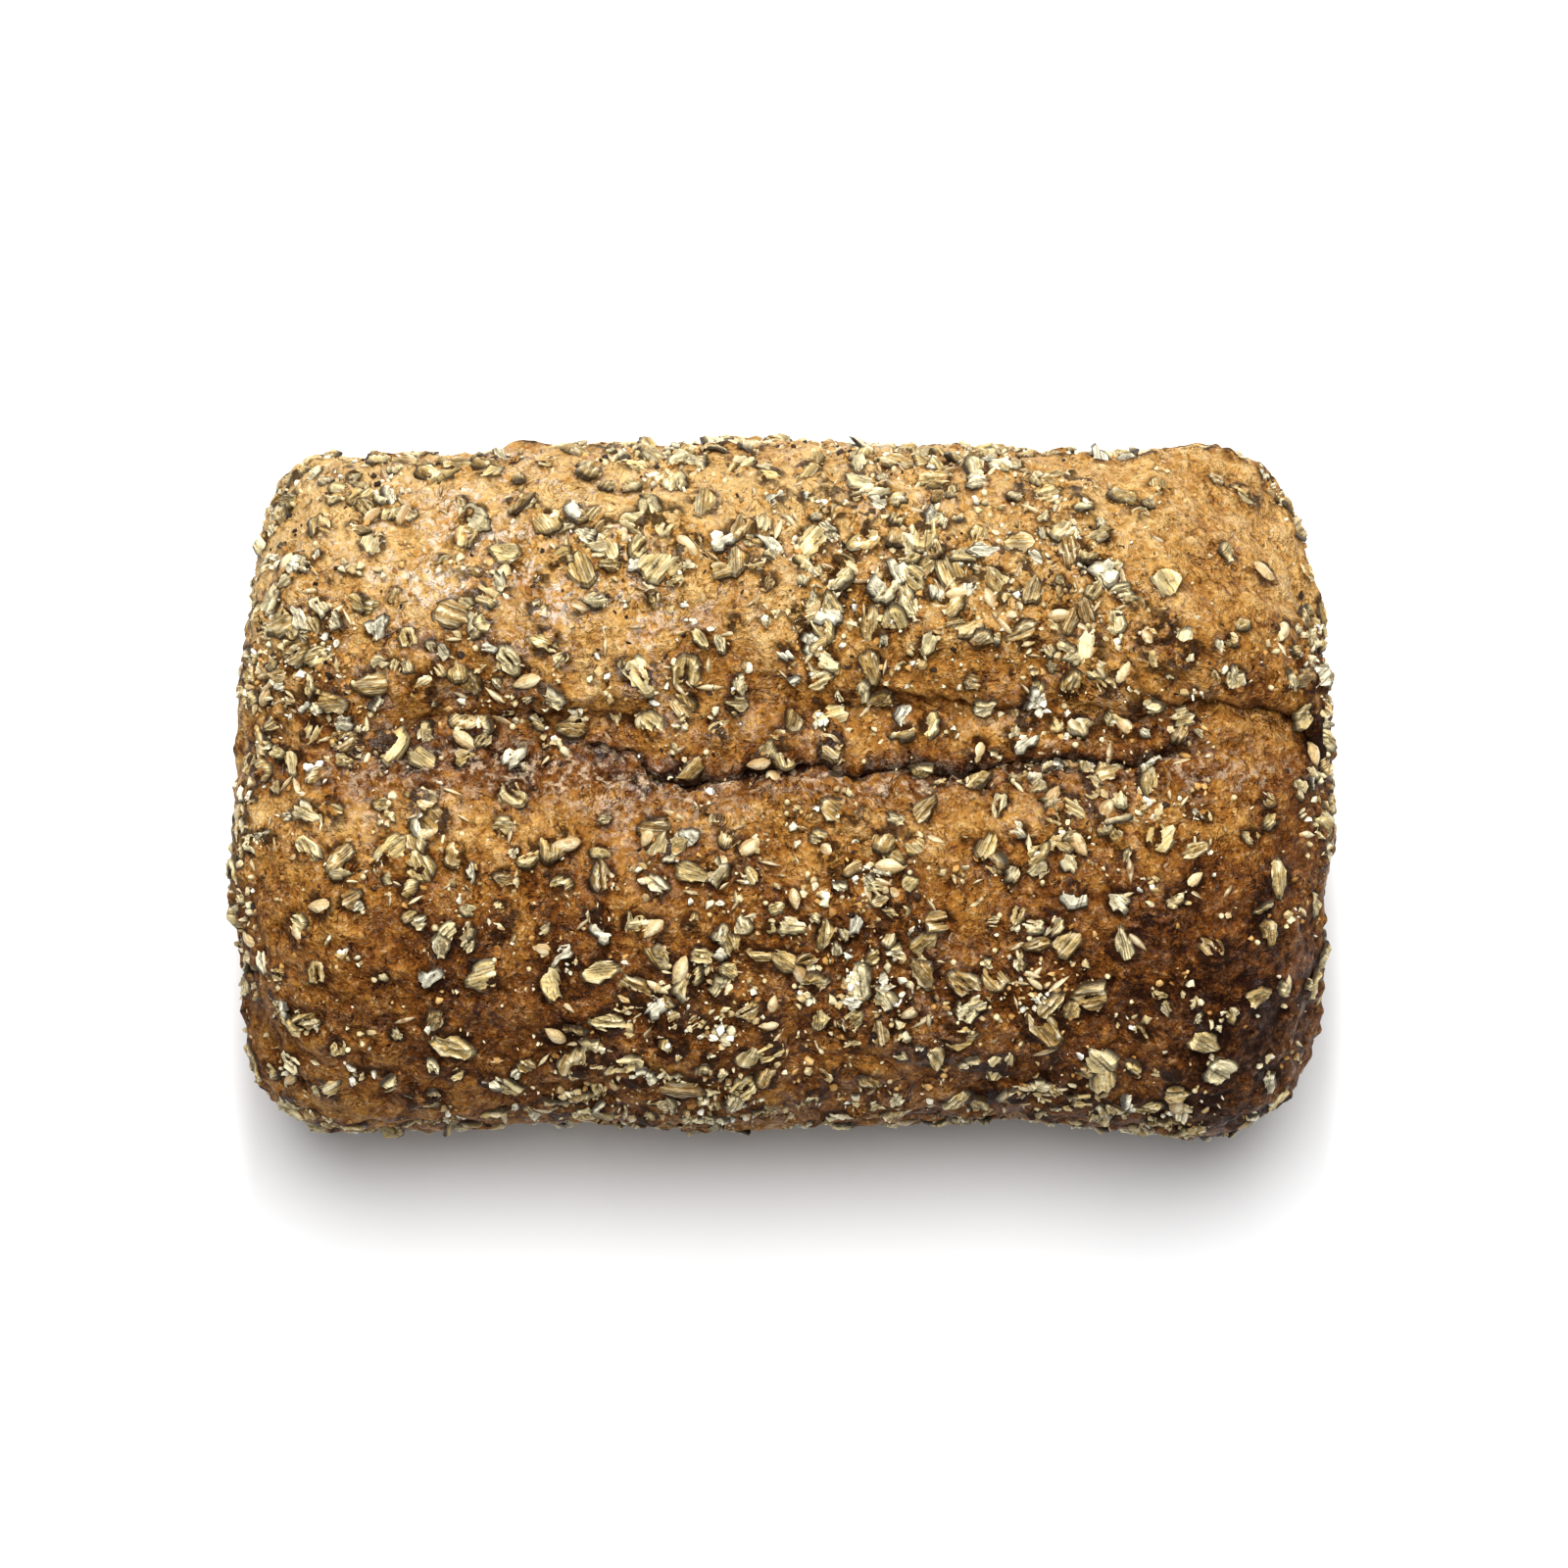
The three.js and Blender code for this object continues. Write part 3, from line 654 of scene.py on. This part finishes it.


# Crust: golden to dark brown with the bake, wrinkled and blistered, paler and pinker where it is torn. Painted shade
# makes it darker and redder in hollows, creases and round the grain; painted highlight pales its bumps and flecks
# glazed spots.
def crust_material():
    material, tree, shader = new_material("crust")
    wrinkles = noise(tree, 2.6, 6, 0.62, 0.9)
    pits = noise(tree, 0.9, 4, 0.65, 0.4)
    grain = noise(tree, 0.42, 3, 0.6)
    scales = between(tree, noise(tree, 1.5, 4, 0.6, 0.5, shifted(tree, 5.9)), 0.46, 0.54)
    bake_and_shade = value_of(tree, "bake_and_shade")
    # Noise that the bump also raises is painted paler on its rises and darker in its hollows: painted highlight and
    # shade.
    for wave, strength in ((noise(tree, 15, 2), 0.5), (wrinkles, -0.5), (pits, -0.45), (grain, -0.4), (scales, -0.14)):
        bake_and_shade = maths(tree, "ADD", bake_and_shade, maths(tree, "MULTIPLY", maths(tree, "SUBTRACT", wave, 0.5), strength))
    fold_lines = maths(tree, "ABSOLUTE", maths(tree, "SUBTRACT", noise(tree, 4, 3, 0.6, 1.5), 0.5), 0.0)
    fold_lines = maths(tree, "SUBTRACT", 1.0, between(tree, fold_lines, 0.0, 0.018))
    short = between(tree, noise(tree, 5, 2, vector=shifted(tree, 4.3)), 0.5, 0.56)
    fold_lines = maths(tree, "MULTIPLY", fold_lines, short)
    # Painted shade in the fold lines, in the hollows of the wrinkles and round the grain.
    for painted_shade, strength in ((fold_lines, 0.4), (between(tree, wrinkles, 0.40, 0.3), 0.25), (value_of(tree, "halo_shade"), 0.16)):
        bake_and_shade = maths(tree, "ADD", bake_and_shade, maths(tree, "MULTIPLY", painted_shade, strength))
    # Painted shade and highlight: darker where the relief of the mesh is low, paler where it is high.
    bake_and_shade = maths(tree, "SUBTRACT", bake_and_shade, maths(tree, "MULTIPLY", value_of(tree, "relief"), 0.13), clamp=True)
    colour = ramp(tree, bake_and_shade, [
        (0.0, (0.73, 0.46, 0.170)),
        (0.22, (0.56, 0.292, 0.074)),
        (0.45, (0.37, 0.156, 0.027)),
        (0.7, (0.175, 0.054, 0.007)),
        (1.0, (0.022, 0.005, 0.001)),
    ])
    pores = between(tree, noise(tree, 0.8, 2, 0.6), 0.575, 0.64)
    pore_depth = maths(tree, "ADD", 0.25, maths(tree, "MULTIPLY", bake_and_shade, 0.6))
    colour = blend_colour(tree, maths(tree, "MULTIPLY", pores, pore_depth), colour, (0.07, 0.022, 0.005))
    specks = between(tree, noise(tree, 0.6, 2, 0.5, vector=shifted(tree, 3.1)), 0.58, 0.65)
    speck_amount = maths(tree, "MULTIPLY", maths(tree, "SUBTRACT", 1.0, bake_and_shade, clamp=True), 0.6)
    colour = blend_colour(tree, maths(tree, "MULTIPLY", specks, speck_amount), colour, (0.82, 0.58, 0.30))
    glints = between(tree, noise(tree, 0.9, 3, 0.6, vector=shifted(tree, 6.1)), 0.45, 0.58)
    # Painted highlight: pale pink glints flecked over the glazed spots.
    painted_glints = maths(tree, "MULTIPLY", value_of(tree, "glaze"), between(tree, noise(tree, 5, 3, vector=shifted(tree, 7.7)), 0.45, 0.6))
    painted_glints = maths(tree, "MULTIPLY", maths(tree, "MULTIPLY", painted_glints, glints), speck_amount)
    colour = blend_colour(tree, maths(tree, "MULTIPLY", painted_glints, 1.5), colour, (0.88, 0.71, 0.56))
    # Painted shadow, nearly black, in the gap against the rims of the grain.
    gap_shadow = maths(tree, "MULTIPLY", value_of(tree, "gap_shade"), between(tree, noise(tree, 1.7, 2, 0.6), 0.41, 0.52))
    colour = blend_colour(tree, maths(tree, "MULTIPLY", gap_shadow, 0.88), colour, (0.020, 0.006, 0.001))
    torn = maths(tree, "MULTIPLY", value_of(tree, "torn"), between(tree, noise(tree, 1.5, 5, 0.7), 0.5, 0.62))
    colour = blend_colour(tree, maths(tree, "MULTIPLY", torn, 0.8), colour, (0.74, 0.55, 0.36))
    tree.links.new(colour, shader.inputs["Base Color"])
    gloss = between(tree, noise(tree, 7, 3, vector=shifted(tree, 1.7)), 0.46, 0.6)
    rough = maths(tree, "SUBTRACT", 0.6, maths(tree, "MULTIPLY", gloss, 0.2))
    tree.links.new(rough, shader.inputs["Roughness"])
    glaze = maths(tree, "MULTIPLY", gloss, value_of(tree, "glaze"))
    glaze = maths(tree, "MULTIPLY", glaze, maths(tree, "ADD", 0.15, glints))
    tree.links.new(glaze, shader.inputs["Coat Weight"])
    shader.inputs["Coat Roughness"].default_value = 0.24
    shader.inputs["Coat IOR"].default_value = 1.8
    shader.inputs["Specular IOR Level"].default_value = 0.1
    height = maths(tree, "MULTIPLY", wrinkles, 1.5)
    height = maths(tree, "ADD", height, maths(tree, "MULTIPLY", pits, 0.9))
    height = maths(tree, "ADD", height, maths(tree, "MULTIPLY", scales, 0.12))
    height = maths(tree, "SUBTRACT", height, maths(tree, "MULTIPLY", pores, 0.2))
    height = maths(tree, "SUBTRACT", height, maths(tree, "MULTIPLY", fold_lines, 0.3))
    bump = node(tree, "Bump", {"Height": height, "Strength": 1.0, "Distance": 2.2 * MM})
    tree.links.new(bump.outputs["Normal"], shader.inputs["Normal"])
    film = node(tree, "Bump", {"Height": maths(tree, "ADD", wrinkles, pits), "Strength": 1.0, "Distance": 1.0 * MM})
    tree.links.new(film.outputs["Normal"], shader.inputs["Coat Normal"])
    shader.inputs["IOR"].default_value = 1.4
    return material


# Grain: its own tone for each piece, streaked along its length, with painted highlight on crests and painted shade in
# hollows.
def grain_material(name, stops, dark, pale, streaks=0.55, roughness=0.5):
    material, tree, shader = new_material(name)
    colour = ramp(tree, value_of(tree, "shade"), stops)
    streak = node(tree, "CombineXYZ", {
        "X": maths(tree, "MULTIPLY", value_of(tree, "across"), 8.0),
        "Y": maths(tree, "MULTIPLY", value_of(tree, "shade"), 40.0),
        "Z": maths(tree, "MULTIPLY", noise(tree, 2.2, 2), 2.0),
    }).outputs[0]
    lines = node(tree, "TexNoise", {"Vector": streak, "Scale": 1.5, "Detail": 3.0}).outputs["Fac"]
    pale_lines = maths(tree, "MULTIPLY", between(tree, lines, 0.5, 0.62), streaks)
    dark_lines = maths(tree, "MULTIPLY", between(tree, lines, 0.44, 0.35), min(1, 1.4 * streaks))
    colour = blend_colour(tree, pale_lines, colour, pale)
    colour = blend_colour(tree, dark_lines, colour, dark)
    mottle = between(tree, noise(tree, 0.7, 3, 0.65), 0.5, 0.72)
    colour = blend_colour(tree, maths(tree, "MULTIPLY", mottle, 0.3), colour, dark)
    # Painted highlight: pale on broken stretches of the crests.
    broken = between(tree, noise(tree, 1.1, 3, 0.6, vector=shifted(tree, 2.3)), 0.36, 0.5)
    edge = maths(tree, "MULTIPLY", value_of(tree, "crest_highlight"), broken)
    colour = blend_colour(tree, maths(tree, "MULTIPLY", edge, 0.85), colour, pale)
    # Painted shade, nearly black, in the hollows of the grain and under it.
    hollow_shade = maths(tree, "MULTIPLY", value_of(tree, "hollow_shade"), 0.95, clamp=True)
    colour = blend_colour(tree, hollow_shade, colour, tuple(0.3 * c for c in dark))
    tree.links.new(colour, shader.inputs["Base Color"])
    rough = maths(tree, "ADD", roughness - 0.1, maths(tree, "MULTIPLY", noise(tree, 1.0), 0.2))
    tree.links.new(rough, shader.inputs["Roughness"])
    height = maths(tree, "ADD", noise(tree, 0.6, 3, 0.6), maths(tree, "MULTIPLY", lines, 2.4 * streaks))
    bump = node(tree, "Bump", {"Height": height, "Strength": 1.0, "Distance": 0.4 * MM})
    tree.links.new(bump.outputs["Normal"], shader.inputs["Normal"])
    shader.inputs["Specular IOR Level"].default_value = 0.2
    return material


RUNS, TURNS = even_tables()
rng = np.random.default_rng(7)

own_flakes = solid_flakes(RUNS, TURNS)
more_flakes = scattered(MORE_FLAKES, (3.6, 7.8), (0.55, 0.85), (1.2, 2.1), 0.6, own_flakes, rng, 1.3, tip=0.3)
oats = scattered(OAT_FLAKES, (3.0, 7.0), (0.5, 0.9), (1.0, 1.9), 0.5, own_flakes, rng, 1.5, lift=0.6, tip=0.4)
kernels = scattered(KERNELS, (5.2, 7.4), (0.44, 0.56), (1.5, 2.0), 0.6, own_flakes, rng, 0.8, tip=0.12)
slivers = scattered(SLIVERS, (2.6, 6.6), (0.2, 0.32), (0.6, 1.1), 0.25, [], rng, 1.2, tip=0.25)
millet = scattered(MILLET, (1.2, 1.7), (0.85, 1.0), (1.0, 1.4), 0.6, [], rng, 0.6, tip=0.2)
groats = scattered(GROATS, (0.9, 2.8), (0.45, 0.95), (0.5, 1.3), 0.35, [], rng, 1.8, lift=0.5, tip=0.5)
grit = scattered(GRIT, (0.4, 1.3), (0.6, 1.0), (0.4, 0.9), 0.4, [], rng, 1.6, tip=0.4)
white_chips = heaped(CHIP_HEAPS, (2, 10), 1.5, (0.9, 3.3), (0.45, 0.95), (0.7, 1.4), rng, lift=0.3)
crust_bumps = scattered(CRUST_BUMPS, (1.0, 2.8), (0.5, 1.0), (0.35, 0.9), 0.3, [], rng, 1.0, tip=0.25)
burnt_and_shade_bits = scattered(BURNT_AND_SHADE_BITS, (0.9, 2.8), (0.3, 0.8), (0.3, 0.7), 0.3, [], rng, 1.7, tip=0.3)


# The crust's own mesh: a grid round the loaf, closed by a point at each end, with its relief pressed into it.
def crust_piece():
    def torn_section(turn):
        x = np.full_like(turn, 20.0)
        home, height = section(turn)
        aside, up = seam(home, x)
        return bent(home, x) + aside, height + up * smooth(0, 0.35, np.sin(turn))

    def profile(run):
        lengthwise, share = outline(run, np.full_like(run, np.pi / 2))
        return lengthwise * HALF_LENGTH, share * WIDEST_LEVEL

    crown = evenly(0, np.pi, CROWN_COLUMNS, torn_section, 6000)
    front_wall = evenly(np.pi, 1.5 * np.pi, WALL_COLUMNS, section, 6000)
    back_wall = evenly(1.5 * np.pi, 2 * np.pi, WALL_COLUMNS, section, 6000)
    turns = np.concatenate([crown, front_wall[1:], back_wall[1:-1]])
    runs = evenly(-1, 1, ROWS, profile, 6000)[1:-1]
    run, turn = np.meshgrid(runs, turns, indexing="ij")
    points = surface(run, turn)
    round_it = np.roll(points, -1, axis=1) - np.roll(points, 1, axis=1)
    normals = np.cross(round_it, np.gradient(points, axis=0))
    normals /= np.linalg.norm(normals, axis=-1, keepdims=True)

    rows, columns = run.shape
    flat = points.reshape(-1, 3)
    tree = KDTree(len(flat))
    for i, point in enumerate(flat):
        tree.insert(point, i)
    tree.balance()
    # Painted shade on the crust: a halo round each larger piece of grain and, darker, the gap against its rim and among
    # white chips.
    halo_shade = np.zeros(len(flat))
    mound = np.zeros(len(flat))
    gap_shade = np.zeros(len(flat))
    for place in own_flakes + more_flakes + oats + kernels:
        reach = place["length"] * 0.5 + 1.2
        for _, i, distance in tree.find_range(Vector(place["point"]), reach):
            closeness = 1 - smooth(0.38 * place["length"], reach, distance)
            halo_shade[i] = max(halo_shade[i], closeness)
            mound[i] = max(mound[i], 0.5 * closeness)
            gap_shade[i] = max(gap_shade[i], 1 - smooth(0.4 * place["length"], 0.42 * place["length"] + 1.1, distance))
    for place in white_chips:
        for _, i, distance in tree.find_range(Vector(place["point"]), 1.8):
            gap_shade[i] = max(gap_shade[i], 0.8 * (1 - smooth(0.6, 1.8, distance)))
    gap_shade = gap_shade.reshape(rows, columns)
    halo_shade = halo_shade.reshape(rows, columns)
    mound = mound.reshape(rows, columns)

    home, _ = section(turn)
    crown = smooth(WIDEST_LEVEL, WIDEST_LEVEL + 15, points[..., 2])
    wander = np.stack([points[..., 0], np.zeros_like(home), np.zeros_like(home)], -1)
    wobble = 3.2 * (cloudy(wander, 9, 4) - 0.5) + 1.8 * (cloudy(wander, 3.4, 5) - 0.5)
    lines = bell(home - CRACK_HOME, 4) * along(CRACK, points[..., 0], 2) + 0.8 * bell(home - LEDGE_HOME, 4)
    points[..., 1] += wobble * lines * crown
    torn = crown * bell(home + 4.5, 4.5) * along(RIDGE, points[..., 0], 2)
    lumps = 1.6 * (cloudy(points, 9, 1) - 0.5) + 1.5 * (cloudy(points, 4.2, 2) - 0.5)
    bumps = 1.6 * (cloudy(points, 2.2, 8) - 0.5) * (1 + 1.0 * torn)
    folds = 1.0 - 2 * np.abs(cloudy(points + 3 * cloudy(points, 5, 6)[..., None], 3.2, 7) - 0.5)
    blisters = 0.9 * smooth(0.7, 0.95, cloudy(points, 3.0, 3))
    relief = lumps + bumps + (0.5 + 0.9 * torn) * (folds - 0.6) + blisters
    outward = (relief + mound) * smooth(0.5, 12, points[..., 2])
    points = points + normals * outward[..., None]
    points[..., 2] = np.maximum(points[..., 2], 0)

    values = bake_values(points, normals, run, turn)
    values["halo_shade"] = halo_shade
    values["gap_shade"] = gap_shade
    values["relief"] = relief
    values["torn"] = torn
    ends = surface(np.array([-1.0, 1.0]), np.zeros(2))
    all_points = np.concatenate([points.reshape(-1, 3), ends])
    faces = []
    for i in range(rows - 1):
        here = i * columns + np.arange(columns)
        following = i * columns + (np.arange(columns) + 1) % columns
        quads = np.stack([here, following, following + columns, here + columns], -1)
        faces.extend(map(tuple, quads.tolist()))
    left, right = rows * columns, rows * columns + 1
    final = (rows - 1) * columns
    for j in range(columns):
        following = (j + 1) % columns
        faces.append((left, following, j))
        faces.append((right, final + j, final + following))
    padded = {}
    for key, data in values.items():
        padded[key] = np.concatenate([np.ravel(data), [0.4, 0.4] if key == "bake_and_shade" else [0, 0]])
    piece = make_piece("crust", all_points, faces, padded, crust_material())
    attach(piece, "root")
    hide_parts("loaf")
    return piece


# How dark the crust is baked, for its points, with painted shade along the crack and under the ledge.
def bake_values(points, normals, run, turn):
    x, y, z = points[..., 0], points[..., 1], points[..., 2]
    home, _ = section(turn)
    crown = smooth(40, 70, z)
    crack_shade = along(CRACK, x, 2) * crown
    ledge = along(LEDGE, x, 2) * along(LEDGE, x, 3) * crown
    across, baked = np.transpose(BAKE_AND_SHADE_ACROSS)
    bake_and_shade = mix(WALL_BAKE, np.interp(y, across, baked), crown)
    bake_and_shade += (0.08 + 0.1 * smooth(15, -30, y)) * smooth(10, 105, x) - 0.1 * smooth(-70, -112, x)
    bake_and_shade += 0.22 * crown * bell(home + 4.5, 5) * along(RIDGE, x, 2)
    # Painted shade: darker down in the crack and under the ledge.
    bake_and_shade += 0.9 * crack_shade * bell(home - CRACK_HOME - 0.5, 1.5)
    bake_and_shade += 0.35 * ledge * bell(home - LEDGE_HOME - 0.4, 1.3)
    for spot_x, spot_y, size, amount in BURNT_SPOTS:
        bake_and_shade += amount * bell(np.hypot(x - spot_x, y - spot_y), size) * crown
    glaze = np.full_like(bake_and_shade, 0.12)
    for spot_x, spot_y, size, amount in GLAZED_SPOTS:
        glaze += amount * bell(np.hypot(x - spot_x, y - spot_y), size) * crown
    return {"bake_and_shade": bake_and_shade, "glaze": glaze}


crust = crust_piece()

KHAKI = [(0.0, (0.32, 0.18, 0.044)), (0.35, (0.46, 0.30, 0.090)), (0.75, (0.63, 0.47, 0.185)), (1.0, (0.86, 0.74, 0.43))]
CREAM = [(0.0, (0.45, 0.31, 0.11)), (0.5, (0.68, 0.54, 0.26)), (1.0, (0.92, 0.87, 0.66))]
TAN = [(0.0, (0.28, 0.155, 0.050)), (0.5, (0.40, 0.250, 0.095)), (1.0, (0.54, 0.39, 0.18))]
STRAW = [(0.0, (0.20, 0.095, 0.028)), (0.5, (0.36, 0.235, 0.09)), (1.0, (0.66, 0.53, 0.30))]
YELLOW = [(0.0, (0.44, 0.30, 0.11)), (1.0, (0.72, 0.60, 0.33))]
WHITE = [(0.0, (0.36, 0.22, 0.08)), (0.5, (0.54, 0.41, 0.20)), (0.75, (0.68, 0.58, 0.36)), (1.0, (0.86, 0.82, 0.68))]
CHALK = [(0.0, (0.45, 0.31, 0.12)), (0.35, (0.64, 0.52, 0.28)), (0.7, (0.82, 0.75, 0.53)), (1.0, (0.94, 0.92, 0.82))]
GOLD = [(0.0, (0.40, 0.24, 0.08)), (0.5, (0.64, 0.48, 0.23)), (1.0, (0.88, 0.81, 0.60))]
BAKED = [(0.0, (0.24, 0.095, 0.018)), (0.5, (0.44, 0.225, 0.055)), (1.0, (0.66, 0.42, 0.16))]
BROWN = (0.16, 0.055, 0.010)
CHAR = [(0.0, (0.012, 0.007, 0.005)), (0.7, (0.045, 0.020, 0.009)), (1.0, (0.13, 0.055, 0.018))]
DARK = (0.050, 0.019, 0.003)
PALE = (0.94, 0.85, 0.57)

shape_rng = np.random.default_rng(19)
flake_shapes = [flake_shape(shape_rng, 0.28, slit) for slit in [0, 0, 0, 0.9] * 6]
oat_shapes = [flake_shape(shape_rng, 0.5, slit) for slit in [0, 0, 0, 0.6] * 4]
kernel_shapes = [kernel_shape(shape_rng, 0.3) for _ in range(6)]
sliver_shapes = [kernel_shape(shape_rng, 0.5, 6, 7) for _ in range(8)]
millet_shapes = [kernel_shape(shape_rng, -0.05, 8, 6) for _ in range(4)]
crumb_shapes = [crumb_shape(shape_rng) for _ in range(16)]
bump_shapes = [(points, faces, 0.5 * hollow_shade, crest_highlight) for points, faces, hollow_shade, crest_highlight in crumb_shapes]

flake_material = grain_material("grain_flakes", KHAKI, DARK, PALE)
grain_piece("large_flakes", own_flakes + more_flakes, flake_shapes, flake_material, 28)
grain_piece("frayed_flakes", oats, oat_shapes, grain_material("oat_flakes", CREAM, DARK, (0.92, 0.88, 0.70), 0.5), 28)
grain_piece("kernels", kernels, kernel_shapes, grain_material("kernels", TAN, DARK, PALE, 0.2, 0.4), 70)
grain_piece("slivers", slivers, sliver_shapes, grain_material("slivers", STRAW, DARK, PALE, 0.2, 0.42), 60)
grain_piece("millet", millet, millet_shapes, grain_material("millet", YELLOW, DARK, PALE, 0.1, 0.4), 80)
grain_piece("groats", groats, crumb_shapes, grain_material("groats", WHITE, DARK, PALE, 0.15))
grain_piece("white_chips", white_chips, crumb_shapes, grain_material("white_chips", CHALK, DARK, PALE, 0.1), 25)
grain_piece("grit", grit, crumb_shapes, grain_material("grit", GOLD, DARK, PALE, 0.1))
grain_piece("crust_bumps", crust_bumps, bump_shapes, grain_material("crust_bumps", BAKED, BROWN, (0.72, 0.46, 0.18), 0.15, 0.45), 60)
# Dark crumbs: burnt husk, and painted shade in the gaps among the grain.
grain_piece("burnt_and_shade_bits", burnt_and_shade_bits, crumb_shapes, grain_material("burnt_and_shade_bits", CHAR, (0.01, 0.006, 0.004), DARK, 0.2))


# Table, lights and camera
def table():
    mesh = bpy.data.meshes.new("table")
    side = 4.0
    mesh.from_pydata([(-side, -side, 0), (side, -side, 0), (side, side, 0), (-side, side, 0)], [], [(0, 1, 2, 3)])
    material, tree, shader = new_material("table")
    shade = ramp(tree, noise(tree, 60, 2), [(0.0, (0.86, 0.86, 0.87)), (1.0, (0.9, 0.9, 0.9))])
    tree.links.new(shade, shader.inputs["Base Color"])
    shader.inputs["Roughness"].default_value = 0.9
    mesh.materials.append(material)
    piece = bpy.data.objects.new("table", mesh)
    bpy.context.scene.collection.objects.link(piece)


def area_light(name, azimuth, elevation, distance, size, watts):
    light = bpy.data.lights.new(name, "AREA")
    light.shape = "DISK"
    light.size = size
    light.energy = watts
    lamp = bpy.data.objects.new(name, light)
    a, e = math.radians(azimuth), math.radians(elevation)
    direction = Vector((math.sin(a) * math.cos(e), math.cos(a) * math.cos(e), math.sin(e)))
    lamp.location = direction * distance
    lamp.rotation_euler = direction.to_track_quat("Z", "Y").to_euler()
    bpy.context.scene.collection.objects.link(lamp)


def world_light(strength):
    world = bpy.data.worlds.new("room")
    world.use_nodes = True
    background = world.node_tree.nodes["Background"]
    background.inputs["Color"].default_value = (1, 1, 1, 1)
    background.inputs["Strength"].default_value = strength
    bpy.context.scene.world = world


def camera():
    data = bpy.data.cameras.new("camera")
    data.sensor_width = 36
    data.lens = 151.4
    eye = bpy.data.objects.new("camera", data)
    elevation = math.radians(85)
    target = Vector((0, 0.0012, 0.05))
    direction = Vector((0, -math.cos(elevation), math.sin(elevation)))
    eye.location = target + direction * 1.4
    eye.rotation_euler = direction.to_track_quat("Z", "Y").to_euler()
    bpy.context.scene.collection.objects.link(eye)
    bpy.context.scene.camera = eye


table()
area_light("overhead", 0, 80, 1.6, 0.85, 30)
area_light("key", -1, 48, 1.6, 0.2, 20)
world_light(0.3)
camera()
bpy.context.scene.view_settings.view_transform = "Standard"
